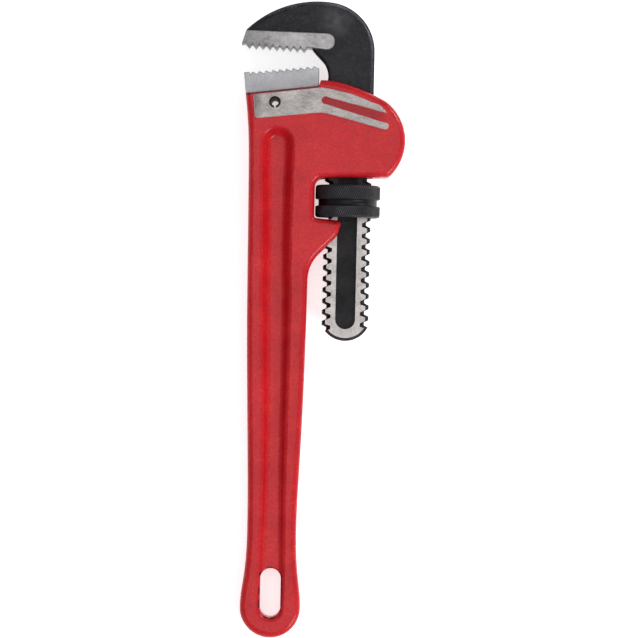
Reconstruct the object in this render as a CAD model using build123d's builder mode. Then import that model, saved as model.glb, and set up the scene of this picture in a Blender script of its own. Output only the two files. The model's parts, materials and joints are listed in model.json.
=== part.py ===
from build123d import *
"""Adjustable pipe wrench, 350 mm (14 in) class, lying on its side.

Frame: +Z up, thickness of the wrench along Z, handle along Y with the head at +Y,
jaws opening towards -X. Millimetres. The origin is the middle of the bounding box's
base, so the rim of the adjusting nut touches Z = 0.
"""
from math import cos, radians, sin
import os

# ---------------------------------------------------------------- driving dimensions
NUT_RADIUS = 16.65
NUT_BOTTOM_Y = 52.95
NUT_HEIGHT = 16.6
MID_Z = NUT_RADIUS                # mid-plane of the whole wrench
SCREW_X = 13.7                    # axis of the shank's thread and of the nut
PITCH = 5.7                       # single-start, right-handed
CREST_RADIUS = 12.0
ROOT_RADIUS = 9.8
RIGHT_CREST_Y = 35.6              # a crest on the +X side of the shank
THREAD_CLEARANCE = 0.3

# handle casting
EYE_CENTRE = (-21.6, -148.2)
EYE_RADIUS = 15.5
HANG_SLOT_CENTRE = (-21.6, -140.6)
HANG_SLOT_LENGTH = 25.2
HANG_SLOT_WIDTH = 10.6
HANG_SLOT_ROUND = 0.8
HEAD_HALF = 14.0                  # half thickness of the head
GRIP_HALF = 10.4                  # half thickness of the grip below the head
EYE_HALF = 7.4                    # half thickness at the hanging eye
CASTING_STATIONS = ((-168.7, EYE_HALF), (36.0, GRIP_HALF), (82.0, HEAD_HALF), (130.0, HEAD_HALF))
CHANNEL_DEPTH = 4.6               # of the grip's I-section, shallower towards the eye
CHANNEL_FLOOR_STATIONS = (
    (-168.7, EYE_HALF - 1.4),
    (36.0, GRIP_HALF - CHANNEL_DEPTH),
    (82.0, HEAD_HALF - CHANNEL_DEPTH),
    (130.0, HEAD_HALF - CHANNEL_DEPTH),
)
CHANNEL_LIP_ROUND = 2.2
CHANNEL_FLOOR_ROUND = 2.8
CHANNEL_DRAFT = 0.85              # sideways run of the channel's wall per unit of depth
CHANNEL_LOW = 5.0                 # heights above the mid-plane between which its walls run
CHANNEL_HIGH = 16.0
CHANNEL_STATIONS = (              # place along Y, centre X, half width at the grip's surface
    (90.2, -22.85, 5.1),
    (36.0, -22.5, 7.2),
    (-45.0, -21.4, 7.2),
    (-110.0, -21.3, 7.8),
    (-148.6, -21.5, 8.7),
)
CASTING_ROUND = 3.0
BAND_HEIGHT = 0.8                 # ground band standing proud of each head face
BAND_EDGE = 0.3                   # chamfer along the band's edges
COLLAR_SLOT_HALF = 7.4            # half width, across Z, of the slot for the shank
NIB_SLOT_HALF = 6.9               # half width, across Z, of the fork in the nib
COLLAR_CENTRE = (16.76, 92.67)
COLLAR_RADIUS = 25.7
WINDOW_BOTTOM_Y = 52.4
WINDOW_TOP_Y = 73.2
WINDOW_WALL_X = -3.35

# jaws
HEEL_LEFT = (-39.85, 115.3)       # seat line of the heel jaw
HEEL_RIGHT = (-2.45, 119.85)
HEEL_HALF = 9.0
TONGUE_HALF = 5.0
TOOTH_PITCH = 3.54
TOOTH_COUNT = 10
HEEL_TOOTH_DEPTH = 1.5
STRIP_END_TOP = (5.2, 147.03)      # corners of the strip's inner end, which is rounded off
STRIP_END_BOTTOM = (5.2, 138.27)
STRIP_END_ROUND = 4.1
JAW_EDGE = 0.3                    # chamfer along the edges of both tooth profiles
HOOK_TOOTH_DEPTH = 2.1
HOOK_TOOTH_COUNT = 9
SHANK_FLAT_HALF = 6.25            # half thickness across the thread's ground flats
HOOK_HALF = 7.0                   # half thickness of the hook's body
HOOK_STRIP_HALF = 8.8             # half thickness of the hook's tooth strip
SHANK_HALF_WIDTH = 12.1
SHANK_END_Y = -10.5
DOME_RADIUS = 13.2                # rounding of the shank's lower end
THREAD_TOP_Y = 80.0
THREAD_ROOT_LENGTH = 5.0          # of the threaded core, inside the hook's body
PANEL_HALF_WIDTH = 5.1
PANEL_DEPTH = 1.25
PANEL_LOW_Y = -4.4
PANEL_HIGH_Y = 90.0
HOOK_OUTER_ROUND = 2.5
HOOK_THROAT_ROUND = 1.5

GROOVE_COUNT = 29
GROOVE_REACH = 42.0               # angle that each groove runs to each side of the flats' middle
GROOVE_ROOT_HALF = 0.85           # half width of the shank's thread groove at its floor
FLANK = 0.48                      # sideways run of a thread flank per unit of depth

# heel jaw pin
PIN_SLIT = 0.9
PIN_CENTRE = (-24.77, 111.0)
PIN_RADIUS = 2.95
PIN_BORE = 1.85
PIN_LENGTH = 27.0
PIN_CLEARANCE = 0.05

# spring set
LEAF_HALF_WIDTH = 4.5
LEAF_THICKNESS = 0.8
LEAF_GAP = 0.2                    # between leaf and shank
LEAF_LENGTH = 32.0
LEAF_BEND = 0.3                   # how far its ends bend away from the shank
SPRING_Y = 98.0                   # height of the coil's axis and of the rivet
COIL_RADIUS = 2.95                # to the middle of the wire
COIL_WIRE = 0.9
COIL_TURNS = 6
POCKET_RADIUS = 3.75
POCKET_FLOOR_X = -9.3

COIL_END_GAP = 0.05
BUTTON_RADIUS = 2.3               # the rivet's button, which keeps the coil on the leaf
BUTTON_HEIGHT = 1.2
STEM_RADIUS = 1.2
RIVET_HEAD_RADIUS = 1.8           # countersunk flush with the leaf's front
RIVET_HEAD_DEPTH = 0.45

# adjusting nut
NUT_BORE_RADIUS = 10.1
NUT_BORE_MOUTH = 12.6             # radius to which the bore's ends are chamfered
NUT_CHAMFER = 1.6
NUT_RIM_ROUND = 1.3
NUT_GROOVE_LOW = 5.65             # plain groove between the two knurled bands
NUT_GROOVE_HIGH = 9.55
NUT_GROOVE_DEPTH = 1.6
NUT_GROOVE_RUN = 0.6              # slant of the groove's walls
NUT_THREAD_INNER = 9.7
NUT_THREAD_TURNS = 5

SIDE_REACH = 60.0                 # a side profile is extruded this far to each side of X = 0

MID = Plane.XY.offset(MID_Z)
SHANK_LEFT_X = SCREW_X - SHANK_HALF_WIDTH
SHANK_RIGHT_X = SCREW_X + SHANK_HALF_WIDTH

os.makedirs("parts", exist_ok=True)


def finish(builder, name):
    """Label a finished piece and write it to its own file."""
    builder.part.label = name
    export_step(builder.part, f"parts/{name}.step")


def nearest_vertex(sketch, point):
    """The sketch corner that lies nearest to a point given in the sketch's plane."""
    target = Vector(point[0], point[1], 0)
    return sketch.vertices().sort_by(lambda v: (Vector(v.X, v.Y, 0) - target).length)[0]


# ---------------------------------------------------------------- handle
def side_slab(stations):
    """A slab as thick as the stations (place along Y, half thickness) say, wide in X."""
    with BuildPart() as slab:
        with BuildSketch(Plane.YZ.offset(-SIDE_REACH)):
            with BuildLine():
                upper = FilletPolyline(*[(y, MID_Z + half) for y, half in stations], radius=200)
                lower = FilletPolyline(*[(y, MID_Z - half) for y, half in stations], radius=200)
                Line(upper @ 0, lower @ 0)
                Line(upper @ 1, lower @ 1)
            make_face()
        extrude(amount=2 * SIDE_REACH)
    return slab.part


def channel_section(height):
    """Plan of the grip's channel at a height above the mid-plane; its walls have draft."""
    grow = CHANNEL_DRAFT * (height - GRIP_HALF)
    top_y, top_x, top_half = CHANNEL_STATIONS[0]
    end_y, end_x, end_half = CHANNEL_STATIONS[-1]
    with BuildSketch(Plane.XY.offset(MID_Z + height)) as section:
        with BuildLine():
            for side in (-1, 1):
                Spline(
                    *[(x + side * (half + grow), y) for y, x, half in CHANNEL_STATIONS],
                    tangents=((0, -1), (0, -1)),
                )
            for y, x, half, bulge in ((top_y, top_x, top_half, 1), (end_y, end_x, end_half, -1)):
                reach = half + grow
                ThreePointArc((x - reach, y), (x, y + bulge * reach), (x + reach, y))
        make_face()
    return section.sketch


def runs_along(edge, limit=0.3):
    """True of an edge that runs along the casting rather than through its thickness."""
    return edge.bounding_box().size.Z < limit * edge.length


def surface_half(y):
    """Half thickness of the casting at a place along its length."""
    for (y0, half0), (y1, half1) in zip(CASTING_STATIONS, CASTING_STATIONS[1:]):
        if y0 <= y <= y1:
            return half0 + (half1 - half0) * (y - y0) / (y1 - y0)
    return HEAD_HALF


with BuildSketch(Plane.XY.offset(MID_Z - HEAD_HALF)) as handle_outline:
    with BuildLine():
        left_edge = Spline(
            (EYE_CENTRE[0] - EYE_RADIUS, EYE_CENTRE[1]),
            (-35.3, -131), (-34.15, -105), (-34.8, -70), (-36.5, -10), (-37.2, 50), (-37.6, 84),
            HEEL_LEFT,
            tangents=((0, 1), (-0.12, 1)),
        )
        seat = Line(HEEL_LEFT, HEEL_RIGHT)
        shoulder = Line(HEEL_RIGHT, (-1.4, 122.9))
        crown = TangentArc((-1.4, 122.9), (10.4, 121.4), tangent=(1, 0.02))
        back_slope = TangentArc(crown @ 1, (32.3, 112.6), tangent=crown % 1)
        collar = ThreePointArc(
            back_slope @ 1,
            (COLLAR_CENTRE[0] + COLLAR_RADIUS, COLLAR_CENTRE[1]),
            (34.3, 73.9),
        )
        window = Polyline(
            collar @ 1,
            (WINDOW_WALL_X, 72.7),
            (WINDOW_WALL_X, WINDOW_BOTTOM_Y),
            (10.9, 51.1),
            (8.9, 43.6),
            (-6.0, 28.4),
            (-6.15, 8),
        )
        right_edge = Spline(
            window @ 1,
            (-7.8, -70), (-8.95, -107), (-7.8, -131),
            (EYE_CENTRE[0] + EYE_RADIUS, EYE_CENTRE[1]),
            tangents=(window % 1, (0, -1)),
        )
        ThreePointArc(
            right_edge @ 1,
            (EYE_CENTRE[0], EYE_CENTRE[1] - EYE_RADIUS),
            left_edge @ 0,
        )
    make_face()
    for corner, radius in (
        ((32.3, 112.6), 14.0),
        ((34.3, 73.9), 4.0),
        ((WINDOW_WALL_X, 72.7), 4.2),
        ((WINDOW_WALL_X, WINDOW_BOTTOM_Y), 1.2),
        ((10.9, 51.1), 1.8),
        ((8.9, 43.6), 9.0),
        ((-6.0, 28.4), 19.0),
        (HEEL_RIGHT, 1.2),
    ):
        fillet(nearest_vertex(handle_outline, corner), radius)

with BuildPart() as channel:
    for height in (CHANNEL_LOW, CHANNEL_HIGH):
        add(channel_section(height))
    loft()
    add(side_slab(CHANNEL_FLOOR_STATIONS), mode=Mode.SUBTRACT)
    channel_floor = [
        e for e in channel.edges() if runs_along(e) and e.center().Z < MID_Z + CHANNEL_HIGH - 1
    ]
    fillet(channel_floor, CHANNEL_FLOOR_ROUND)

with BuildPart() as handle:
    add(handle_outline.sketch)
    extrude(amount=2 * HEAD_HALF)
    add(side_slab(CASTING_STATIONS), mode=Mode.INTERSECT)
    rim = [
        e for e in handle.edges()
        if runs_along(e) and abs(e.tangent_at(0.5).X) < 0.9999
        and not (e.center().Y > 114 and e.center().X < -1.3)
    ]
    fillet(rim, CASTING_ROUND)
    add(channel.part, mode=Mode.SUBTRACT)
    mirror(channel.part, about=MID, mode=Mode.SUBTRACT)
    lips = [
        e for e in handle.edges()
        if runs_along(e) and abs(e.tangent_at(0.5).X) < 0.9999
        and -31.5 < e.center().X < -14.5 and e.center().Y < 99
        and abs(e.center().Z - MID_Z) > surface_half(e.center().Y) - 0.6
    ]
    fillet(lips, CHANNEL_LIP_ROUND)

    # hanging slot through the eye
    with BuildSketch(MID):
        with Locations(HANG_SLOT_CENTRE):
            SlotOverall(HANG_SLOT_LENGTH, HANG_SLOT_WIDTH, rotation=90)
    extrude(amount=EYE_HALF + 2, both=True, mode=Mode.SUBTRACT)
    slot_rim = [e for e in handle.edges(Select.LAST) if runs_along(e, 0.9)]
    fillet(slot_rim, HANG_SLOT_ROUND)

    # ground band, proud of both faces of the head, with two prongs around an open slot
    with BuildSketch(Plane.XY.offset(MID_Z - HEAD_HALF - BAND_HEIGHT)) as band_outline:
        with BuildLine():
            upper_edge = Polyline((-35.9, 114.7), (-1.05, 119.0), (2.0, 118.65), (14.7, 116.0), (25.5, 111.75))
            upper_prong = ThreePointArc(upper_edge @ 1, (29.7, 109.9), (32.4, 106.6))
            slot_upper = Line(upper_prong @ 1, (2.2, 113.95))
            slot_end = ThreePointArc(slot_upper @ 1, (-0.8, 112.3), (1.4, 110.55))
            slot_lower = Line(slot_end @ 1, (31.4, 101.8))
            lower_prong = ThreePointArc(slot_lower @ 1, (33.7, 99.8), (31.4, 98.2))
            Polyline(lower_prong @ 1, (4.5, 105.1), (-1.0, 106.15), (-34.8, 102.35), upper_edge @ 0)
        make_face()
        for corner, radius in (
            ((-35.9, 114.7), 0.8),
            ((-34.8, 102.35), 1.6),
            ((14.7, 116.0), 20.0),
            ((-1.0, 106.15), 8.0),
        ):
            fillet(nearest_vertex(band_outline, corner), radius)
    extrude(amount=2 * (HEAD_HALF + BAND_HEIGHT))
    band_faces = handle.faces().filter_by(Axis.Z).group_by(Axis.Z)
    for face in band_faces[0] + band_faces[-1]:
        chamfer(face.outer_wire().edges(), BAND_EDGE)

    # slot through the collar for the shank, with a front wall that leans away from it
    with BuildSketch(Plane.XY.offset(MID_Z - COLLAR_SLOT_HALF)):
        Polygon(
            (-0.4, WINDOW_TOP_Y - 2), (SHANK_RIGHT_X + 0.35, WINDOW_TOP_Y - 2),
            (SHANK_RIGHT_X + 0.35, 126), (-2.55, 126),
            align=None,
        )
    extrude(amount=2 * COLLAR_SLOT_HALF, mode=Mode.SUBTRACT)

    # fork of the nib, straddling the shank
    with BuildSketch(Plane.XY.offset(MID_Z - NIB_SLOT_HALF)):
        Polygon((0.6, 28), (14, 28), (14, 56), (0.6, 56), align=None)
    extrude(amount=2 * NIB_SLOT_HALF, mode=Mode.SUBTRACT)

    # seat slot for the heel jaw's tongue
    with BuildSketch(Plane.XY.offset(MID_Z - TONGUE_HALF - 0.1)):
        Polygon((-36.1, 103.5), (-8.9, 106.8), (-8.9, 125), (-36.1, 125), align=None)
    extrude(amount=2 * TONGUE_HALF + 0.2, mode=Mode.SUBTRACT)

    # hole for the heel jaw's pin
    with Locations(Plane(origin=(*PIN_CENTRE, MID_Z))):
        Hole(PIN_RADIUS + PIN_CLEARANCE)

    # pocket for the coil spring in the slot's front wall
    with BuildSketch(Plane(origin=(POCKET_FLOOR_X, SPRING_Y, MID_Z), x_dir=(0, 1, 0), z_dir=(1, 0, 0))):
        Circle(POCKET_RADIUS)
    extrude(amount=12, mode=Mode.SUBTRACT)
finish(handle, "handle")


# ---------------------------------------------------------------- heel jaw
def tooth_row(start, direction, pitch, count, depth, lean):
    """Outline points of a row of ratchet teeth.

    The row starts at a tooth's foot and runs along direction (a unit Vector); the depth is
    measured to the left of it. lean is where along its pitch each tooth has its tip.
    """
    normal = Vector(-direction.Y, direction.X)
    points = []
    for i in range(count):
        foot = Vector(*start) + direction * (i * pitch)
        points.append(foot)
        points.append(foot + direction * (lean * pitch) + normal * depth)
    points.append(Vector(*start) + direction * (count * pitch))
    return points


heel_rise = Vector(cos(radians(6.25)), sin(radians(6.25)))
heel_teeth = tooth_row((-37.7, 125.05), heel_rise, TOOTH_PITCH - 0.02, TOOTH_COUNT, HEEL_TOOTH_DEPTH, 0.3)
tongue_line = Vector(*HEEL_RIGHT) - Vector(*HEEL_LEFT)

with BuildPart() as heel_jaw:
    with BuildSketch(Plane.XY.offset(MID_Z - HEEL_HALF)) as heel_outline:
        with BuildLine():
            Polyline(
                HEEL_LEFT, (-41.0, 126.2), (-38.2, 126.5), *heel_teeth, (-2.45, 128.9),
                HEEL_RIGHT, close=True,
            )
        make_face()
        fillet(nearest_vertex(heel_outline, HEEL_RIGHT), 1.4)
    extrude(amount=2 * HEEL_HALF)
    chamfer(heel_jaw.faces().filter_by(Axis.Z).edges(), JAW_EDGE)
    with BuildSketch(Plane.XY.offset(MID_Z - TONGUE_HALF)):
        Polygon((-36.0, 103.7), (-9.0, 107.0), (-9.0, 121), (-36.0, 121), align=None)
    extrude(amount=2 * TONGUE_HALF)
    with Locations(Plane(origin=(*PIN_CENTRE, MID_Z))):
        Hole(PIN_RADIUS + PIN_CLEARANCE)
finish(heel_jaw, "heel_jaw")

# ---------------------------------------------------------------- heel jaw pin
with BuildPart() as heel_jaw_pin:
    with BuildSketch(Plane(origin=(*PIN_CENTRE, MID_Z - PIN_LENGTH / 2))):
        Circle(PIN_RADIUS)
        Circle(PIN_BORE, mode=Mode.SUBTRACT)
        with Locations((0, -PIN_RADIUS)):
            Rectangle(PIN_SLIT, 2 * PIN_RADIUS, mode=Mode.SUBTRACT)
    extrude(amount=PIN_LENGTH)
    ends = heel_jaw_pin.faces().filter_by(Axis.Z).edges().filter_by(GeomType.CIRCLE)
    chamfer([e for e in ends if e.radius > PIN_BORE + 0.5], 0.4)
finish(heel_jaw_pin, "heel_jaw_pin")


# ---------------------------------------------------------------- screw thread
def around_screw(angle, y):
    """A plane across the screw's axis at a height, its x axis turned about it from +X."""
    turn = radians(angle)
    return Plane(origin=(SCREW_X, y, MID_Z), x_dir=(cos(turn), 0, -sin(turn)), z_dir=(0, 1, 0))


def thread_cutter(start_y, start_angle, turn_angle, inner, outer, inner_half, outer_half):
    """A helical ridge of trapezoid section, to cut one stretch of thread groove."""
    turn = radians(start_angle)
    path = around_screw(start_angle, start_y).location * Helix(
        pitch=PITCH, height=PITCH * turn_angle / 360, radius=ROOT_RADIUS
    )
    section = Plane(
        origin=(SCREW_X, start_y, MID_Z),
        x_dir=(cos(turn), 0, -sin(turn)),
        z_dir=(sin(turn), 0, cos(turn)),
    )
    with BuildPart() as cutter:
        with BuildSketch(section):
            Polygon(
                (inner, -inner_half), (outer, -outer_half), (outer, outer_half), (inner, inner_half),
                align=None,
            )
        sweep(path=path, is_frenet=True)
    return cutter.part


# ---------------------------------------------------------------- hook jaw
lowest_valley = RIGHT_CREST_Y - 7 * PITCH
groove_outer = CREST_RADIUS + 0.6
grooves = [
    # one groove after another, on the left and the right of the shank by turns
    thread_cutter(
        start_y=lowest_valley + i * PITCH / 2 - PITCH * GROOVE_REACH / 360,
        start_angle=180.0 * ((i + 1) % 2) - GROOVE_REACH,
        turn_angle=2 * GROOVE_REACH,
        inner=ROOT_RADIUS,
        outer=groove_outer,
        inner_half=GROOVE_ROOT_HALF,
        outer_half=GROOVE_ROOT_HALF + FLANK * (groove_outer - ROOT_RADIUS),
    )
    for i in range(GROOVE_COUNT)
]

with BuildPart() as shank:
    with BuildSketch(around_screw(0, SHANK_END_Y)):
        Circle(CREST_RADIUS)
        Rectangle(2 * CREST_RADIUS + 1, 2 * SHANK_FLAT_HALF, mode=Mode.INTERSECT)
    extrude(amount=THREAD_TOP_Y + THREAD_ROOT_LENGTH - SHANK_END_Y)
    # rounded end
    with BuildSketch(Plane(origin=(SCREW_X, 0, MID_Z), x_dir=(1, 0, 0), z_dir=(0, 0, 1))):
        with BuildLine():
            end = ThreePointArc(
                (0, SHANK_END_Y),
                (DOME_RADIUS * sin(radians(45)), SHANK_END_Y + DOME_RADIUS * (1 - cos(radians(45)))),
                (DOME_RADIUS, SHANK_END_Y + DOME_RADIUS),
            )
            Polyline(end @ 1, (DOME_RADIUS, PANEL_HIGH_Y), (0, PANEL_HIGH_Y), end @ 0)
        make_face()
    revolve(axis=Axis((SCREW_X, 0, MID_Z), (0, 1, 0)), mode=Mode.INTERSECT)
    add(grooves, mode=Mode.SUBTRACT)

strip_rise = Vector(-cos(radians(3)), sin(radians(3)))
strip_teeth = tooth_row((-8.9, 139.75), strip_rise, TOOTH_PITCH, HOOK_TOOTH_COUNT, HOOK_TOOTH_DEPTH, 0.42)
nose_tip = Vector(-42.46, 141.0)
nose_top = Vector(-40.1, 148.6)

with BuildPart() as tooth_strip:
    with BuildSketch(Plane.XY.offset(MID_Z - HOOK_STRIP_HALF)) as strip_outline:
        with BuildLine():
            Polyline(
                nose_tip, nose_top * 0.9 + nose_tip * 0.1, STRIP_END_TOP, STRIP_END_BOTTOM,
                *strip_teeth, close=True,
            )
        make_face()
        for corner in (STRIP_END_TOP, STRIP_END_BOTTOM):
            fillet(nearest_vertex(strip_outline, corner), STRIP_END_ROUND)
    extrude(amount=2 * HOOK_STRIP_HALF)
    chamfer(tooth_strip.faces().filter_by(Axis.Z).edges(), JAW_EDGE)

with BuildPart() as hook_jaw:
    # body of the hook
    with BuildSketch(Plane.XY.offset(MID_Z - HOOK_HALF)):
        with BuildLine():
            back = Line((SHANK_RIGHT_X, THREAD_TOP_Y), (SHANK_RIGHT_X, 138.1))
            shoulder_arc = TangentArc(back @ 1, (3.87, 163.2), tangent=back % 1)
            top_arc = TangentArc(shoulder_arc @ 1, nose_top, tangent=shoulder_arc % 1)
            inside = Polyline(top_arc @ 1, nose_top * 0.8 + nose_tip * 0.2, (-39.0, 144.0), (-8.5, 142.0))
            throat = Spline(
                inside @ 1,
                (-5.2, 137.8), (-2.37, 134.8), (0.85, 131.1), (2.19, 126.8),
                (SHANK_LEFT_X, 117.0),
                tangents=((0.62, -1), (0, -1)),
            )
            Polyline(throat @ 1, (SHANK_LEFT_X, THREAD_TOP_Y), back @ 0)
        make_face()
    extrude(amount=2 * HOOK_HALF)
    profile = [e for e in hook_jaw.edges() if runs_along(e, 0.1) and e.length > 5]
    fillet(
        [e for e in profile if e.center().X > SHANK_RIGHT_X - 0.1 or e.center().Y > 150],
        HOOK_OUTER_ROUND,
    )
    fillet(
        [e for e in profile if -8 < e.center().X < SHANK_LEFT_X + 1 and e.center().Y < 141],
        HOOK_THROAT_ROUND,
    )

    # toothed strip, wider than the body, and the threaded shank
    add(tooth_strip.part)
    add(shank.part)

    # recessed panel along the middle of both flats
    for side in (-1, 1):
        with BuildSketch(Plane.XY.offset(MID_Z + side * (SHANK_FLAT_HALF - PANEL_DEPTH))):
            with Locations((SCREW_X, (PANEL_LOW_Y + PANEL_HIGH_Y) / 2)):
                SlotOverall(PANEL_HIGH_Y - PANEL_LOW_Y, 2 * PANEL_HALF_WIDTH, rotation=90)
        extrude(amount=side * HOOK_HALF, mode=Mode.SUBTRACT)
finish(hook_jaw, "hook_jaw")


# ---------------------------------------------------------------- adjusting nut
nut_grooves = [
    # one cutter for each turn, in line with the shank's thread
    thread_cutter(
        start_y=RIGHT_CREST_Y + (2 + i) * PITCH,
        start_angle=0.0,
        turn_angle=360.0,
        inner=NUT_THREAD_INNER,
        outer=CREST_RADIUS + THREAD_CLEARANCE,
        inner_half=PITCH / 2 - GROOVE_ROOT_HALF + THREAD_CLEARANCE,
        outer_half=PITCH / 2 - GROOVE_ROOT_HALF + THREAD_CLEARANCE
        - FLANK * (CREST_RADIUS + THREAD_CLEARANCE - NUT_THREAD_INNER),
    )
    for i in range(NUT_THREAD_TURNS)
]
nut_groove_floor = NUT_RADIUS - NUT_GROOVE_DEPTH

with BuildPart() as adjusting_nut:
    with BuildSketch(Plane(origin=(SCREW_X, NUT_BOTTOM_Y, MID_Z))) as nut_section:
        with BuildLine():
            Polyline(
                (NUT_BORE_MOUTH, 0),
                (NUT_RADIUS, 0),
                (NUT_RADIUS, NUT_GROOVE_LOW),
                (nut_groove_floor, NUT_GROOVE_LOW + NUT_GROOVE_RUN),
                (nut_groove_floor, NUT_GROOVE_HIGH - NUT_GROOVE_RUN),
                (NUT_RADIUS, NUT_GROOVE_HIGH),
                (NUT_RADIUS, NUT_HEIGHT),
                (NUT_BORE_MOUTH, NUT_HEIGHT),
                (NUT_BORE_RADIUS, NUT_HEIGHT - NUT_CHAMFER),
                (NUT_BORE_RADIUS, NUT_CHAMFER),
                close=True,
            )
        make_face()
        rims = nut_section.vertices().group_by(Axis.X)[-1].sort_by(Axis.Y)
        fillet([rims[0], rims[-1]], NUT_RIM_ROUND)
    revolve(axis=Axis((SCREW_X, 0, MID_Z), (0, 1, 0)))
    add(nut_grooves, mode=Mode.SUBTRACT)
finish(adjusting_nut, "adjusting_nut")


# ---------------------------------------------------------------- spring set
leaf_front_x = SHANK_LEFT_X - LEAF_GAP
leaf_back_x = leaf_front_x - LEAF_THICKNESS
rivet_plane = Plane(origin=(leaf_back_x, SPRING_Y, MID_Z), x_dir=(0, 1, 0), z_dir=(1, 0, 0))

with BuildPart() as flat_spring:
    with BuildSketch(Plane.XY.offset(MID_Z - LEAF_HALF_WIDTH)):
        with BuildLine():
            for side in (-1, 1):
                straight_y = SPRING_Y + side * LEAF_LENGTH / 4
                end_y = SPRING_Y + side * LEAF_LENGTH / 2
                for x in (leaf_back_x, leaf_front_x):
                    TangentArc((x, straight_y), (x - LEAF_BEND, end_y), tangent=(0, side))
                Line((leaf_back_x - LEAF_BEND, end_y), (leaf_front_x - LEAF_BEND, end_y))
            for x in (leaf_back_x, leaf_front_x):
                Line((x, SPRING_Y - LEAF_LENGTH / 4), (x, SPRING_Y + LEAF_LENGTH / 4))
        make_face()
    extrude(amount=2 * LEAF_HALF_WIDTH)
    corners = [e for e in flat_spring.edges().filter_by(Axis.X) if e.length < 2 * LEAF_THICKNESS]
    fillet(corners, LEAF_HALF_WIDTH - 1)
    with BuildSketch(rivet_plane):
        Circle(STEM_RADIUS + PIN_CLEARANCE)
    extrude(amount=2 * LEAF_THICKNESS, both=True, mode=Mode.SUBTRACT)
finish(flat_spring, "flat_spring")

with BuildPart() as spring_rivet:
    with BuildSketch(rivet_plane):
        Circle(BUTTON_RADIUS)
    extrude(amount=-BUTTON_HEIGHT)
    fillet(spring_rivet.edges().sort_by(Axis.X)[0], 0.5)
    with BuildSketch(rivet_plane):
        Circle(STEM_RADIUS)
    extrude(amount=LEAF_THICKNESS)
finish(spring_rivet, "spring_rivet")

coil_low_x = POCKET_FLOOR_X + COIL_WIRE / 2 + COIL_END_GAP
coil_high_x = leaf_back_x - COIL_WIRE / 2 - COIL_END_GAP
coil_path = Plane(origin=(coil_low_x, SPRING_Y, MID_Z), x_dir=(0, 1, 0), z_dir=(1, 0, 0)).location * Helix(
    pitch=(coil_high_x - coil_low_x) / COIL_TURNS, height=coil_high_x - coil_low_x, radius=COIL_RADIUS
)
with BuildPart() as coil_spring:
    with BuildSketch(Plane(origin=coil_path @ 0, z_dir=coil_path % 0)):
        Circle(COIL_WIRE / 2)
    sweep(path=coil_path, is_frenet=True)
finish(coil_spring, "coil_spring")
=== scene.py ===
import json
import math

import bmesh
import bpy
import numpy as np
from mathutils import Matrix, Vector


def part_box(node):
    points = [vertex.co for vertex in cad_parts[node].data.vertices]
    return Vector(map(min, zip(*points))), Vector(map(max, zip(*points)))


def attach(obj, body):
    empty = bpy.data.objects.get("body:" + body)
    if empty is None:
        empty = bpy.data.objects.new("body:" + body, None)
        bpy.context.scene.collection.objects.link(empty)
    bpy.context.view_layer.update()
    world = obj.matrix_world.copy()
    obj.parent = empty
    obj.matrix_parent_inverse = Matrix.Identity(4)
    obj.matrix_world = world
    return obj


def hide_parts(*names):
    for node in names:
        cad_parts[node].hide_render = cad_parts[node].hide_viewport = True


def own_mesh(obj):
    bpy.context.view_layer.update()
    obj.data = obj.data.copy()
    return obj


MM = 0.001

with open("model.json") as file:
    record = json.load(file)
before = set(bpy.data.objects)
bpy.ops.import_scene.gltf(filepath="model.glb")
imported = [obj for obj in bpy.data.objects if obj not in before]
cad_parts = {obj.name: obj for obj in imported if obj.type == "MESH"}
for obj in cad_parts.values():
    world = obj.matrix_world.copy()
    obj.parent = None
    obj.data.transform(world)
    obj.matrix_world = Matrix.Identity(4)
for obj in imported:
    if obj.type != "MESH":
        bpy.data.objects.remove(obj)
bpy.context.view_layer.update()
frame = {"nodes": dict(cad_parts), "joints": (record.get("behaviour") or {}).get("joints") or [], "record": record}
nodes = frame["nodes"]
joints = {j["name"]: j for j in frame["joints"]}
coupling = frame["record"]["behaviour"]["couplings"][0]

MID_Z = joints["nut_spin"]["pos_m"][2]           # mid-plane of the wrench
SCREW_X = joints["nut_spin"]["pos_m"][0]         # axis of the shank's thread
PITCH = 2 * math.pi / coupling["ratio"]          # slide per turn of the nut
NUT_LOW, NUT_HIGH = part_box("adjusting_nut")
HEAD_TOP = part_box("handle")[1].z                 # the ground band's face
SEAT_START = Vector((-39.85, 115.3, 0)) * MM     # line on which the heel jaw sits on the head
SEAT_END = Vector((-2.45, 119.85, 0)) * MM
SLOT_START = Vector((-0.5, 112.7, 0)) * MM       # middle of the slot between the band's prongs
SLOT_END = Vector((32.0, 104.1, 0)) * MM
BAND_END = -35.8 * MM                            # X of the ground band's end beside the pin
STRIP_TIP = -42 * MM                             # X of the toothed strip at the hook's tip
HANG_SLOT_LOW = Vector((-21.6, -147.9, 0)) * MM  # centres of the hanging slot's two round ends
HANG_SLOT_HIGH = Vector((-21.6, -133.3, 0)) * MM
STRIP_STANDS = 1.7 * MM                          # thickness of the strip beyond the hook's sides
STRIP_TEETH_BOTTOM = 136 * MM                    # the strip's teeth lie between these two in Y
STRIP_TEETH_TOP = 141.5 * MM
STRIP_TEETH_END = -6 * MM                        # and on the tip's side of this X
THREAD_TOP = 80.2 * MM                           # Y where the shank's thread ends
FLAT_HALF = 6.25 * MM                            # height of the thread's flats off the mid-plane
PANEL_HALF = 5.1 * MM                            # the sunken panel lies below this
HOOK_SHOULDER = Vector((5.6, 153.7, 0)) * MM     # where the hook turns into its neck

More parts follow.
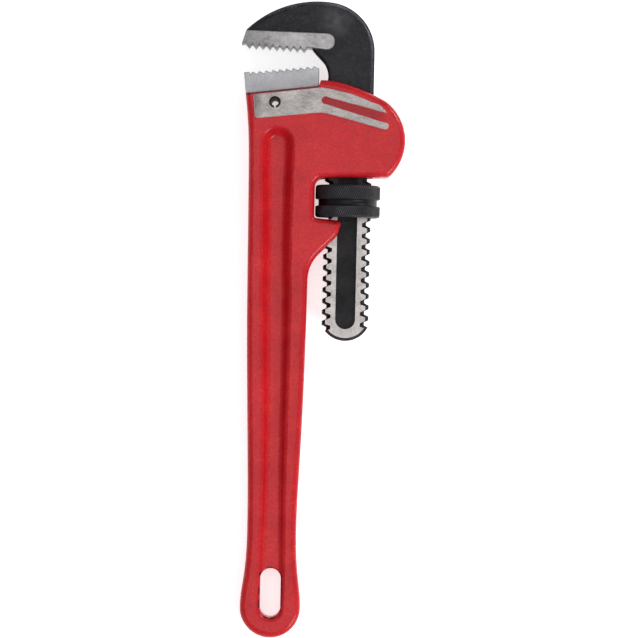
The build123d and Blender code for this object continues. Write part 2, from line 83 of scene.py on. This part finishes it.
ENAMEL_DARK = (0.48, 0.006, 0.012)
ENAMEL_LIGHT = (0.63, 0.013, 0.020)
ENAMEL_WARM = (0.66, 0.024, 0.016)
ENAMEL_SAND = (0.36, 0.0035, 0.009)              # in the pits between the grains
ENAMEL_SHADED = (0.17, 0.004, 0.014)
# painted shade and dirt along the seam below the heel jaw
ENAMEL_SEAM_SHADE_AND_DIRT = (0.045, 0.004, 0.012)
BARE_IRON = (0.012, 0.008, 0.010)
# darkening for ground steel; on the thread's flats it is a painted shadow of the collar
STEEL_DARKENED = (0.012, 0.011, 0.012)
FORGING_COLOURS = (                              # dark scale, light scale, pale specks and painted sheen
    (0.0032, 0.0030, 0.0045),
    (0.011, 0.0105, 0.014),
    (0.062, 0.061, 0.071),
)


# ---------------------------------------------------------------- node helpers
class Shader:
    """A material and the few node calls that build its pattern, in metres of object space."""

    def __init__(self, name):
        self.material = bpy.data.materials.new(name)
        self.material.use_nodes = True
        self.tree = self.material.node_tree
        self.bsdf = self.tree.nodes["Principled BSDF"]
        self.position = self.tree.nodes.new("ShaderNodeTexCoord").outputs["Object"]

    def add(self, kind, **settings):
        node = self.tree.nodes.new(kind)
        for key, value in settings.items():
            setattr(node, key, value)
        return node

    def link(self, source, socket):
        self.tree.links.new(source, socket)

    def set(self, **values):
        for name, value in values.items():
            self.bsdf.inputs[name.replace("_", " ")].default_value = value

    def stretched(self, scale, turn=0.0):
        """Object coordinates turned about Z and scaled along each axis."""
        node = self.add("ShaderNodeMapping")
        self.link(self.position, node.inputs["Vector"])
        node.inputs["Rotation"].default_value = (0, 0, math.radians(turn))
        node.inputs["Scale"].default_value = scale
        return node.outputs["Vector"]

    def noise(self, scale, detail=3.0, roughness=0.5, distortion=0.0, vector=None):
        node = self.add("ShaderNodeTexNoise")
        self.link(vector or self.position, node.inputs["Vector"])
        node.inputs["Scale"].default_value = scale
        node.inputs["Detail"].default_value = detail
        node.inputs["Roughness"].default_value = roughness
        node.inputs["Distortion"].default_value = distortion
        return node.outputs["Fac"]

    def remap(self, value, low, high, to_low=0.0, to_high=1.0):
        node = self.add("ShaderNodeMapRange")
        self.link(value, node.inputs["Value"])
        for name, number in (
            ("From Min", low), ("From Max", high), ("To Min", to_low), ("To Max", to_high),
        ):
            node.inputs[name].default_value = number
        return node.outputs["Result"]

    def math(self, operation, a, b=0.0):
        node = self.add("ShaderNodeMath", operation=operation)
        for socket, value in zip(node.inputs, (a, b)):
            if isinstance(value, (int, float)):
                socket.default_value = value
            else:
                self.link(value, socket)
        return node.outputs["Value"]

    def mix(self, factor, a, b):
        node = self.add("ShaderNodeMix", data_type="RGBA")
        self.link(factor, node.inputs["Factor"])
        for socket, value in ((node.inputs[6], a), (node.inputs[7], b)):
            if isinstance(value, tuple):
                socket.default_value = (*value, 1.0)
            else:
                self.link(value, socket)
        return node.outputs[2]

    def vector(self, operation, a, b):
        """A vector operation on an output and a constant; the output that it gives."""
        node = self.add("ShaderNodeVectorMath", operation=operation)
        self.link(a, node.inputs[0])
        node.inputs[1].default_value = b
        return node.outputs["Value" if operation == "DOT_PRODUCT" else "Vector"]

    def away_from_point(self, point):
        """Distance in plan from a point."""
        apart = self.vector("MULTIPLY", self.vector("SUBTRACT", self.position, point), (1, 1, 0))
        node = self.add("ShaderNodeVectorMath", operation="LENGTH")
        self.link(apart, node.inputs[0])
        return node.outputs["Value"]

    def beside_line(self, start, end):
        """Signed distance to the left of a line in plan, and the share of the way along it."""
        run = end - start
        apart = self.vector("SUBTRACT", self.position, start)
        aside = self.vector("DOT_PRODUCT", apart, Vector((-run.y, run.x, 0)).normalized())
        along = self.vector("DOT_PRODUCT", apart, run / run.length_squared)
        return aside, along

    def place(self, axis):
        """The object's own X, Y or Z at this point, in metres."""
        node = self.add("ShaderNodeSeparateXYZ")
        self.link(self.position, node.inputs["Vector"])
        return node.outputs[axis]

    def attribute(self, name):
        node = self.add("ShaderNodeAttribute", attribute_name=name)
        return node.outputs["Fac"]

    def colour(self, source):
        self.link(source, self.bsdf.inputs["Base Color"])

    def roughness(self, source):
        self.link(source, self.bsdf.inputs["Roughness"])

    def bump(self, *layers):
        """Each layer is (height from 0 to 1, depth in metres); they add up."""
        normal = None
        for height, depth in layers:
            node = self.add("ShaderNodeBump")
            self.link(height, node.inputs["Height"])
            node.inputs["Distance"].default_value = depth
            if normal is not None:
                self.link(normal, node.inputs["Normal"])
            normal = node.outputs["Normal"]
        self.link(normal, self.bsdf.inputs["Normal"])


# ---------------------------------------------------------------- materials
def seam_shade_and_dirt(s):
    """Painted shade, with oil and dirt, in the enamel just below the heel jaw, strongest at the seam."""
    aside, along = s.beside_line(SEAT_START, SEAT_END)
    ragged = s.remap(s.noise(500, detail=3), 0.3, 0.7, -0.25 * MM, 0.25 * MM)
    near = s.remap(s.math("ADD", aside, ragged), -1.5 * MM, -0.35 * MM)
    before_end = s.remap(along, 0.97, 1.03, 1.0, 0.0)
    return s.math("MULTIPLY", s.math("MULTIPLY", near, before_end), 0.95)


def hang_slot_chips(s):
    """Bare dark spots on the hanging slot's two edges, where it has knocked on its nail."""
    low, high = HANG_SLOT_LOW, HANG_SLOT_HIGH
    along = s.math("MINIMUM", s.math("MAXIMUM", s.place("Y"), low.y), high.y)
    rise = s.math("SUBTRACT", s.place("Y"), along)
    aside = s.math("SUBTRACT", s.place("X"), low.x)
    squares = s.math("ADD", s.math("MULTIPLY", rise, rise), s.math("MULTIPLY", aside, aside))
    close = s.remap(s.math("SQRT", squares), 5.7 * MM, 6.7 * MM, 1.0, 0.0)
    depth = s.math("ABSOLUTE", s.math("SUBTRACT", s.place("Z"), MID_Z))
    at_edge = s.math("MULTIPLY", close, s.remap(depth, 5.2 * MM, 6.2 * MM))
    return s.math("MULTIPLY", at_edge, s.remap(s.noise(420, detail=2), 0.53, 0.56))


def prong_slot_shade(s):
    """Painted shade in the slot between the band's two prongs."""
    aside, along = s.beside_line(SLOT_START, SLOT_END)
    within = s.remap(s.math("ABSOLUTE", aside), 1.2 * MM, 2.6 * MM, 1.0, 0.0)
    before_end = s.remap(along, 0.9, 1.02, 1.0, 0.0)
    return s.math("MULTIPLY", s.math("MULTIPLY", within, before_end), 0.5)


def red_enamel():
    """Thick glossy enamel over a sand casting: the sand's grain shows through it."""
    s = Shader("red_enamel")
    patches = s.remap(s.noise(45, detail=4, roughness=0.6), 0.35, 0.7)
    sand = s.noise(950, detail=3, roughness=0.65)
    warm = s.remap(s.noise(120, detail=3, roughness=0.6), 0.5, 0.72, 0.0, 0.6)
    base = s.mix(patches, ENAMEL_DARK, ENAMEL_LIGHT)
    base = s.mix(warm, base, ENAMEL_WARM)
    base = s.mix(s.remap(sand, 0.42, 0.6, 0.0, 0.52), base, ENAMEL_SAND)
    # painted shade in the slot between the band's prongs
    base = s.mix(prong_slot_shade(s), base, ENAMEL_SHADED)
    base = s.mix(hang_slot_chips(s), base, BARE_IRON)
    # painted shade and dirt along the seam just below the heel jaw
    s.colour(s.mix(seam_shade_and_dirt(s), base, ENAMEL_SEAM_SHADE_AND_DIRT))
    s.roughness(s.remap(s.noise(300, detail=3), 0.3, 0.7, 0.32, 0.46))
    s.set(Metallic=0.0, Specular_IOR_Level=0.13, Coat_Weight=0.34, Coat_Roughness=0.18)
    s.bump(
        (s.noise(70, detail=2), 0.0007),
        (s.noise(260, detail=3, roughness=0.6), 0.0005),
        (sand, 0.00016),
    )
    return s.material


def rubbed_enamel():
    """The enamel's edge beside the ground band, thinned to a pale pink over the iron."""
    s = Shader("rubbed_enamel")
    chips = s.remap(s.noise(420, detail=4, roughness=0.7), 0.42, 0.6)
    s.colour(s.mix(chips, (0.50, 0.20, 0.20), (0.56, 0.43, 0.41)))
    s.roughness(s.remap(chips, 0, 1, 0.5, 0.38))
    s.set(Metallic=0.2, Specular_IOR_Level=0.4)
    s.bump((chips, 0.00006))
    return s.material


def band_end_darkening(s):
    """The band darkens towards its end beside the pin."""
    ragged = s.remap(s.noise(260, detail=3), 0.3, 0.7, -1.2 * MM, 1.2 * MM)
    return s.remap(s.math("ADD", s.place("X"), ragged), BAND_END, BAND_END + 5 * MM, 0.55, 0.0)


def strip_tip_darkening(s):
    """The strip darkens towards the hook's tip and is brightest at its round end."""
    return s.remap(s.place("X"), STRIP_TIP, STRIP_TIP + 26 * MM, 0.42, 0.0)


def collar_shadow_on_flats(s):
    """Painted shadow of the collar: from the middle of the nut upwards the flats are darkened to near black."""
    middle = (NUT_LOW.y + NUT_HIGH.y) / 2
    ragged = s.remap(s.noise(500, detail=3), 0.3, 0.7, -0.8 * MM, 0.8 * MM)
    return s.remap(s.math("ADD", s.place("Y"), ragged), middle, middle + 1 * MM, 0.0, 0.97)


def ground_metal(name, dark, light, streak, turn=0.0, darkening=None):
    """Bare steel off a surface grinder: mottled, with short streaks along one direction."""
    s = Shader(name)
    along = s.stretched(streak, turn)
    mottle = s.noise(1.0, detail=4, roughness=0.65, distortion=0.6, vector=along)
    cloud = s.noise(140, detail=3, roughness=0.6)
    grain = s.noise(1500, detail=2, roughness=0.7)
    blend = s.math("ADD", s.math("MULTIPLY", mottle, 0.4), s.math("MULTIPLY", grain, 0.3))
    blend = s.math("ADD", blend, s.math("MULTIPLY", cloud, 0.3))
    base = s.mix(s.remap(blend, 0.38, 0.62), dark, light)
    # mixes in the darkening mask given; on the thread's flats that is a painted shadow
    s.colour(s.mix(darkening(s), base, STEEL_DARKENED) if darkening else base)
    s.roughness(s.remap(mottle, 0.3, 0.7, 0.36, 0.52))
    s.set(Metallic=0.85, Specular_IOR_Level=0.4)
    s.bump((mottle, 0.00005), (grain, 0.00003))
    return s.material


def black_forging(name="black_forging", gain=1.0, rough=(0.38, 0.54), specular=0.35):
    """Oil-blackened forging, pebbled by its scale, with pale specks and a painted sheen round the hook's shoulder.
    """
    s = Shader(name)
    lumps = s.noise(240, detail=3, roughness=0.55)
    specks = s.remap(s.noise(900, detail=3, roughness=0.6), 0.54, 0.72, 0.0, 0.3)
    tone = s.remap(s.noise(38, detail=4, roughness=0.55), 0.38, 0.66)
    # painted highlight: the forging turns paler round the hook's shoulder
    shoulder_sheen = s.remap(s.away_from_point(HOOK_SHOULDER), 1.0 * MM, 11 * MM, 0.95, 0.0)
    # rubbed is the pale colour of the specks and of the painted sheen
    dark, light, rubbed = (tuple(gain * part for part in colour) for colour in FORGING_COLOURS)
    patchy = s.math("MULTIPLY", shoulder_sheen, s.remap(lumps, 0.35, 0.6, 0.5, 1))
    pale = s.math("MAXIMUM", specks, patchy)
    s.colour(s.mix(pale, s.mix(tone, dark, light), rubbed))
    s.roughness(s.remap(s.noise(500, detail=2), 0.3, 0.7, *rough))
    s.set(Metallic=0.5 * specular, Specular_IOR_Level=specular)
    s.bump((s.noise(60, detail=2), 0.0012), (lumps, 0.0005), (s.noise(1200, detail=2), 0.00006))
    return s.material


def dark_steel(name, colour=(0.008, 0.0075, 0.0085), rough=(0.38, 0.55), specular=0.35):
    """Oxide-black or blued steel with a pitted, slightly uneven skin."""
    s = Shader(name)
    grain = s.noise(900, detail=3, roughness=0.6)
    pits = s.noise(330, detail=3, roughness=0.6)
    lighter = tuple(c * 2.8 for c in colour)
    s.colour(s.mix(s.remap(s.noise(120, detail=4), 0.35, 0.7), colour, lighter))
    s.roughness(s.remap(grain, 0.3, 0.7, *rough))
    s.set(Metallic=0.8 * specular, Specular_IOR_Level=specular)
    s.bump((pits, 0.0005), (grain, 0.00008))
    return s.material


def knurled_steel():
    """The nut's black finish, rubbed brighter where the mesh marks its raised edges."""
    s = Shader("knurled_steel")
    grain = s.noise(1200, detail=2)
    rubbed = s.remap(s.noise(150, detail=3), 0.3, 0.65, 0.45, 1.0)
    worn = s.math("MULTIPLY", s.attribute("wear"), rubbed)
    s.colour(s.mix(worn, (0.003, 0.0027, 0.0035), (0.05, 0.046, 0.053)))
    s.roughness(s.remap(grain, 0.3, 0.7, 0.34, 0.5))
    s.set(Metallic=0.25, Specular_IOR_Level=0.3)
    s.bump((grain, 0.00003))
    return s.material


def floor_material():
    """Matt white that glows a little, like a light table."""
    s = Shader("pale_floor")
    s.colour(s.mix(s.noise(3, detail=2), (0.9, 0.9, 0.9), (0.93, 0.93, 0.93)))
    s.set(Roughness=0.8, Specular_IOR_Level=0.2, Emission_Color=(1, 1, 1, 1), Emission_Strength=0.6)
    return s.material


# ---------------------------------------------------------------- CAD nodes
def polygon_data(mesh):
    """Centre and normal of each polygon, as two arrays."""
    count = len(mesh.polygons)
    centre = np.empty(count * 3)
    normal = np.empty(count * 3)
    mesh.polygons.foreach_get("center", centre)
    mesh.polygons.foreach_get("normal", normal)
    return centre.reshape(-1, 3), normal.reshape(-1, 3)


def paint(node, materials, choice=None):
    """Give a CAD node's object its materials; choice holds each polygon's slot."""
    mesh = nodes[node].data
    mesh.materials.clear()
    for material in materials:
        mesh.materials.append(material)
    if choice is not None:
        mesh.polygons.foreach_set("material_index", choice.astype(np.int32))


def paint_handle():
    """Red enamel, a ground band on each face of the head, and its rubbed edge."""
    enamel, ground, rubbed = range(3)
    centre, normal = polygon_data(nodes["handle"].data)
    off_middle = np.abs(centre[:, 2] - MID_Z)
    up = np.abs(normal[:, 2])
    band = off_middle > HEAD_TOP - MID_Z - 0.32 * MM
    choice = np.full(len(centre), enamel)
    choice[band & (up > 0.3)] = rubbed
    choice[band & (up > 0.9)] = ground
    ground_band = ground_metal(
        "ground_band", (0.21, 0.19, 0.182), (0.54, 0.505, 0.49),
        streak=(330, 900, 900), turn=-8, darkening=band_end_darkening,
    )
    paint("handle", [red_enamel(), ground_band, rubbed_enamel()], choice)


def hook_materials():
    """The hook's materials, in the order of the slots that paint_hook gives out."""
    return [
        black_forging(),
        ground_metal(
            "tooth_strip", (0.20, 0.192, 0.197), (0.52, 0.505, 0.51),
            streak=(380, 520, 500), turn=2, darkening=strip_tip_darkening,
        ),
        # the flats carry a painted shadow of the collar from the nut's middle upwards
        ground_metal(
            "thread_flats", (0.31, 0.288, 0.28), (0.62, 0.585, 0.57),
            streak=(500, 350, 500), darkening=collar_shadow_on_flats,
        ),
        dark_steel("cast_panel", (0.0060, 0.0052, 0.0060), (0.42, 0.6), specular=0.24),
        dark_steel("oiled_thread", (0.0025, 0.0023, 0.0027), (0.55, 0.7), specular=0.08),
        # a paler copy of the forging, as a painted highlight on roundings that face the lights
        black_forging("forging_painted_highlight", 4.5, (0.3, 0.44)),
        black_forging("scaled_forging", 0.5, (0.6, 0.75), specular=0.1),
    ]


def paint_hook():
    """Black forging, ground tooth strip, ground flats on the thread, dark panel."""
    forged, ground_strip, ground_flats, cast, oiled, highlit_round, scaled = range(7)
    centre, normal = polygon_data(nodes["hook_jaw"].data)
    x, y = centre[:, 0], centre[:, 1]
    off_middle = np.abs(centre[:, 2] - MID_Z)
    up = np.abs(normal[:, 2])
    strip_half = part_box("hook_jaw")[1].z - MID_Z
    strip_face = off_middle > strip_half - STRIP_STANDS
    between_teeth = (y < STRIP_TEETH_TOP) & (y > STRIP_TEETH_BOTTOM) & (x < STRIP_TEETH_END)
    on_strip = strip_face | between_teeth
    threaded = y < THREAD_TOP
    level = up > 0.98
    flat = level & (np.abs(off_middle - FLAT_HALF) < 0.05 * MM) & threaded
    panel = level & (off_middle < PANEL_HALF)
    # roundings that face the lights on the right get the painted highlight
    outward = normal[:, 0] + 0.8 * normal[:, 1] > 0.1
    choice = np.full(len(centre), forged)
    choice[(up > 0.6) & (up < 0.97) & outward & ~on_strip] = highlit_round
    choice[up < 0.6] = scaled
    choice[threaded] = oiled
    choice[on_strip] = ground_strip
    choice[flat] = ground_flats
    choice[panel] = cast
    paint("hook_jaw", hook_materials(), choice)


def paint_small_parts():
    heel_steel = ground_metal(
        "heel_steel", (0.29, 0.285, 0.295), (0.45, 0.445, 0.46), streak=(450, 700, 700)
    )
    paint("heel_jaw", [heel_steel])
    paint("heel_jaw_pin", [dark_steel("pin_oxide")])
    paint("flat_spring", [dark_steel("blued_leaf", (0.05, 0.05, 0.06), (0.3, 0.4))])
    paint("spring_rivet", [dark_steel("rivet_steel", (0.15, 0.15, 0.155), (0.3, 0.45))])


# ---------------------------------------------------------------- new pieces
def add_piece(name, points, faces, material, flat_faces=0):
    """A new mesh object, smooth but for its last few faces."""
    mesh = bpy.data.meshes.new(name)
    mesh.from_pydata(points.reshape(-1, 3).tolist(), [], faces)
    smooth_faces = len(faces) - flat_faces
    mesh.polygons.foreach_set("use_smooth", [True] * smooth_faces + [False] * flat_faces)
    mesh.materials.append(material)
    mesh.update()
    piece = bpy.data.objects.new(name, mesh)
    bpy.context.scene.collection.objects.link(piece)
    return piece


# ---------------------------------------------------------------- adjusting nut
NUT_RADIUS = (NUT_HIGH.x - NUT_LOW.x) / 2
NUT_HEIGHT = NUT_HIGH.y - NUT_LOW.y
NUT_RIM = 1.3 * MM                # rounding of the outer rims
GROOVE_LOW = 5.65 * MM            # heights of the edges of the groove round the outside
GROOVE_HIGH = 9.55 * MM
GROOVE_DEPTH = 1.6 * MM
GROOVE_RUN = 0.6 * MM             # height that each of its sides takes
SOFT = 0.08 * MM                  # how far its edges are eased
KNURL_RIDGES = 90
RIDGE_COLUMNS = 6
COLUMNS = KNURL_RIDGES * RIDGE_COLUMNS
KNURL_SLANT = math.radians(26)
KNURL_DEPTH = 0.32 * MM
KNURL_FADE = 0.35 * MM            # height over which the knurl runs out
BORE = 10.1 * MM                  # radius over the thread's crests
BORE_ROWS = 44
MOUTH = 12.6 * MM                 # radius of the bore's chamfered ends
MOUTH_DEPTH = 1.6 * MM
FACE_EDGES = (MOUTH + 0.1 * MM, MOUTH + 1.2 * MM)
ROOT_HALF = 1.055 * MM            # half width of the thread's groove at its root
ROOT_RADIUS = 12.3 * MM
FLANK_SLOPE = 0.479
CREST_Y = 35.6 * MM - NUT_LOW.y   # height at which the groove crosses the start of a turn


def knurl_share(y):
    """How deep the knurl is at a height: full on the bands, none at their edges."""
    edge = 0.6 * NUT_RIM
    for low, high in ((edge, GROOVE_LOW), (GROOVE_HIGH, NUT_HEIGHT - edge)):
        if low <= y <= high:
            return min(1.0, (y - low) / KNURL_FADE, (high - y) / KNURL_FADE)
    return 0.0


def outside_section():
    """The nut's outside as (radius, height), from its lower rim to its upper one."""
    rim = []
    for turn in np.radians([0, 22.5, 45, 67.5, 90]):
        inset = NUT_RIM * (1 - math.sin(turn))
        rim.append((NUT_RADIUS - inset, NUT_RIM * (1 - math.cos(turn))))
    band_rows = 9
    lower = np.linspace(NUT_RIM + KNURL_FADE, GROOVE_LOW - KNURL_FADE, band_rows)
    upper = np.linspace(GROOVE_HIGH + KNURL_FADE, NUT_HEIGHT - NUT_RIM - KNURL_FADE, band_rows)
    root = NUT_RADIUS - GROOVE_DEPTH
    side = [
        (NUT_RADIUS, GROOVE_LOW - 0.02 * MM),
        (NUT_RADIUS - SOFT, GROOVE_LOW + 0.06 * MM),
        (root + SOFT, GROOVE_LOW + GROOVE_RUN - 0.06 * MM),
        (root, GROOVE_LOW + GROOVE_RUN + 0.05 * MM),
    ]
    return (
        rim
        + [(NUT_RADIUS, y) for y in lower]
        + side
        + [(root, (GROOVE_LOW + GROOVE_HIGH) / 2)]
        + [(radius, GROOVE_LOW + GROOVE_HIGH - y) for radius, y in reversed(side)]
        + [(NUT_RADIUS, y) for y in upper]
        + [(radius, NUT_HEIGHT - y) for radius, y in reversed(rim)]
    )


def nut_section():
    """The nut's closed section as (radius, height, part): outside, top, bore and bottom."""
    bore_heights = np.linspace(NUT_HEIGHT - 0.1 * MM, 0.1 * MM, BORE_ROWS)
    return (
        [(radius, y, "outside") for radius, y in outside_section()]
        + [(radius, NUT_HEIGHT, "face") for radius in reversed(FACE_EDGES)]
        + [(BORE, y, "bore") for y in bore_heights]
        + [(radius, 0.0, "face") for radius in FACE_EDGES]
    )


def knurled_row(radius, y):
    """Radii and wear round the outside at one height."""
    share = knurl_share(y)
    wave = np.abs((np.arange(COLUMNS) % RIDGE_COLUMNS) / RIDGE_COLUMNS * 2 - 1)
    ridge = np.clip(wave * 1.5 - 0.25, 0, 1)
    wear_off_knurl = 0.8 if radius > NUT_RADIUS - NUT_RIM * 0.8 else 0.0
    radii = radius - KNURL_DEPTH * share * (1 - ridge)
    return radii, np.where(share > 0, ridge, wear_off_knurl)


def threaded_row(y, angle):
    """Radii round the bore at one height: crests, the thread's groove and the end cones."""
    along = y - CREST_Y - PITCH * angle / (2 * math.pi)
    away = np.abs((along / PITCH + 0.5) % 1 - 0.5) * PITCH
    groove = ROOT_RADIUS - np.maximum(0, away - ROOT_HALF) / FLANK_SLOPE
    cone = MOUTH - min(y, NUT_HEIGHT - y) * (MOUTH - BORE) / MOUTH_DEPTH
    return np.maximum(np.maximum(BORE, groove), cone)


def nut_grid():
    """Points and wear of the nut, row by row, sheared to follow the knurl's slant."""
    turn = np.arange(COLUMNS) * 2 * math.pi / COLUMNS
    section = nut_section()
    points = np.empty((len(section), COLUMNS, 3))
    wear = np.zeros((len(section), COLUMNS))
    for row, (radius, y, part) in enumerate(section):
        angle = turn + math.tan(KNURL_SLANT) * (y - NUT_HEIGHT / 2) / NUT_RADIUS
        radii = np.full(COLUMNS, radius)
        if part == "outside":
            radii, wear[row] = knurled_row(radius, y)
        elif part == "bore":
            radii = threaded_row(y, angle)
        points[row, :, 0] = SCREW_X + radii * np.cos(angle)
        points[row, :, 1] = NUT_LOW.y + y
        points[row, :, 2] = MID_Z - radii * np.sin(angle)
    return points, wear


def knurled_nut():
    """The nut as one closed grid, knurled outside and threaded inside."""
    points, wear = nut_grid()
    index = np.arange(wear.size).reshape(wear.shape)
    below, right = np.roll(index, -1, axis=0), np.roll(index, -1, axis=1)
    corner = np.roll(below, -1, axis=1)
    faces = np.stack([index, right, corner, below], axis=-1).reshape(-1, 4)
    piece = add_piece("knurled_nut", points, faces.tolist(), knurled_steel())
    layer = piece.data.attributes.new("wear", "FLOAT", "POINT")
    layer.data.foreach_set("value", wear.reshape(-1).astype(np.float32))
    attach(piece, "nut")
    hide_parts("adjusting_nut")


# ---------------------------------------------------------------- coil spring
COIL_LOW, COIL_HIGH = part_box("coil_spring")
COIL_CENTRE = (COIL_LOW + COIL_HIGH) / 2
WIRE_RADIUS = 0.45 * MM
WIRE_SIDES = 12
COIL_RADIUS = (COIL_HIGH.y - COIL_LOW.y) / 2 - WIRE_RADIUS
COIL_TURNS = 6
CLOSED_TURNS = 0.75               # at each end
TURN_STEPS = 28


def coil_path():
    """Points along the wire's middle, and the direction away from the axis at each."""
    length = COIL_HIGH.x - COIL_LOW.x - 2 * WIRE_RADIUS
    closed_rise = CLOSED_TURNS * 2.04 * WIRE_RADIUS
    share = np.linspace(0, COIL_TURNS, COIL_TURNS * TURN_STEPS + 1)
    rise = np.interp(
        share,
        [0, CLOSED_TURNS, COIL_TURNS - CLOSED_TURNS, COIL_TURNS],
        [0, closed_rise, length - closed_rise, length],
    )
    turn = 2 * math.pi * share
    outward = np.stack([np.zeros_like(turn), np.cos(turn), np.sin(turn)], axis=-1)
    path = COIL_RADIUS * outward
    path += np.array([COIL_LOW.x + WIRE_RADIUS, COIL_CENTRE.y, COIL_CENTRE.z])
    path[:, 0] += rise
    return path, outward


def coil_spring():
    """The coil behind the leaf, with closed ends; the rocking hook squeezes the real one, but this one keeps its
    length.
    """
    path, outward = coil_path()
    forward = np.gradient(path, axis=0)
    forward /= np.linalg.norm(forward, axis=1)[:, None]
    sideways = np.cross(forward, outward)
    angle = (2 * math.pi * np.arange(WIRE_SIDES) / WIRE_SIDES)[:, None]
    ring = outward[:, None] * np.cos(angle) + sideways[:, None] * np.sin(angle)
    points = path[:, None] + WIRE_RADIUS * ring

    index = np.arange(len(path) * WIRE_SIDES).reshape(len(path), WIRE_SIDES)
    beside = np.roll(index, -1, axis=1)
    sides = np.stack([index[:-1], beside[:-1], beside[1:], index[1:]], axis=-1).reshape(-1, 4)
    caps = [index[0][::-1].tolist(), index[-1].tolist()]
    faces = sides.tolist() + caps
    steel = dark_steel("spring_wire", (0.12, 0.12, 0.125), (0.25, 0.4), specular=0.5)
    piece = add_piece("coil_spring_wire", points, faces, steel, flat_faces=len(caps))
    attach(piece, "handle")
    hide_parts("coil_spring")
    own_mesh(piece)


# ---------------------------------------------------------------- stage
def resting_plane():
    """The plane of a floor that the wrench would really lie on, as (point, normal).

    It is the facet, on the underside of the hull around all CAD nodes, that is under the
    middle of the wrench's weight.
    """
    hull = bmesh.new()
    for node in nodes.values():
        for vertex in node.data.vertices:
            if vertex.co.z < MID_Z:
                hull.verts.new(vertex.co)
    weight = mass_centre()
    bmesh.ops.convex_hull(hull, input=hull.verts)
    best = None
    for face in hull.faces:
        if face.normal.z > -0.9:
            continue
        corners = [v.co.xy for v in face.verts]
        sides = [
            (b - a).cross(weight.xy - a) for a, b in zip(corners, corners[1:] + corners[:1])
        ]
        if all(s >= 0 for s in sides) or all(s <= 0 for s in sides):
            best = (face.verts[0].co.copy(), -face.normal)
    hull.free()
    return best


def mass_centre():
    """Middle of the volume of the handle and the hook, from their closed meshes."""
    total, moment = 0.0, Vector((0, 0, 0))
    for name in ("handle", "hook_jaw"):
        mesh = nodes[name].data
        mesh.calc_loop_triangles()
        for triangle in mesh.loop_triangles:
            a, b, c = (mesh.vertices[i].co for i in triangle.vertices)
            volume = a.dot(b.cross(c)) / 6
            total += volume
            moment += volume * (a + b + c) / 4
    return moment / total


def stage():
    """A pale floor, wide enough to fill every view."""
    point, normal = resting_plane()
    mesh = bpy.data.meshes.new("floor")
    reach = 6.0
    gap = 0.02 * MM
    corners = [(-reach, -reach, 0), (reach, -reach, 0), (reach, reach, 0), (-reach, reach, 0)]
    mesh.from_pydata(corners, [], [(0, 1, 2, 3)])
    mesh.materials.append(floor_material())
    floor = bpy.data.objects.new("floor", mesh)
    bpy.context.scene.collection.objects.link(floor)
    floor.rotation_mode = "QUATERNION"
    floor.rotation_quaternion = Vector((0, 0, 1)).rotation_difference(normal)
    floor.location = point - normal * gap


def area_light(name, place, size, power, target=(0, 0, 0)):
    data = bpy.data.lights.new(name, "AREA")
    data.shape = "DISK"
    data.size = size
    data.energy = power
    lamp = bpy.data.objects.new(name, data)
    lamp.location = place
    aim = Vector(target) - Vector(place)
    lamp.rotation_euler = aim.to_track_quat("-Z", "Y").to_euler()
    bpy.context.scene.collection.objects.link(lamp)


def lights():
    """Key light on the right, a smaller one above it, a wide one overhead and a pale tent."""
    area_light("key", (0.95, -0.9, 1.1), 0.75, 13.2)
    area_light("side", (1.1, 0.85, 0.7), 0.45, 7.5, (0.0, 0.1, 0.0))
    area_light("top", (-0.1, 0.1, 1.8), 1.4, 6.8)
    world = bpy.data.worlds.new("tent")
    world.use_nodes = True
    background = world.node_tree.nodes["Background"]
    background.inputs["Color"].default_value = (0.97, 0.98, 1.0, 1.0)
    background.inputs["Strength"].default_value = 0.4
    bpy.context.scene.world = world


def camera():
    """Straight above the wrench, turned a little, with a long lens."""
    distance = 2.0
    width = 328.6 * MM               # of the view at the wrench's mid-plane
    middle_x, middle_y = 0.31 * MM, 0.54 * MM
    turn = math.radians(1.3)
    sensor = 36
    data = bpy.data.cameras.new("camera")
    data.sensor_width = sensor
    data.lens = sensor * distance / width
    data.clip_start, data.clip_end = 0.05, 20
    cam = bpy.data.objects.new("camera", data)
    cam.location = (middle_x, middle_y, MID_Z + distance)
    cam.rotation_euler = (0, 0, turn)
    bpy.context.scene.collection.objects.link(cam)
    bpy.context.scene.camera = cam


# ---------------------------------------------------------------- assembly
bpy.context.scene.view_settings.view_transform = "Standard"
paint_handle()
paint_hook()
paint_small_parts()
knurled_nut()
coil_spring()
stage()
lights()
camera()
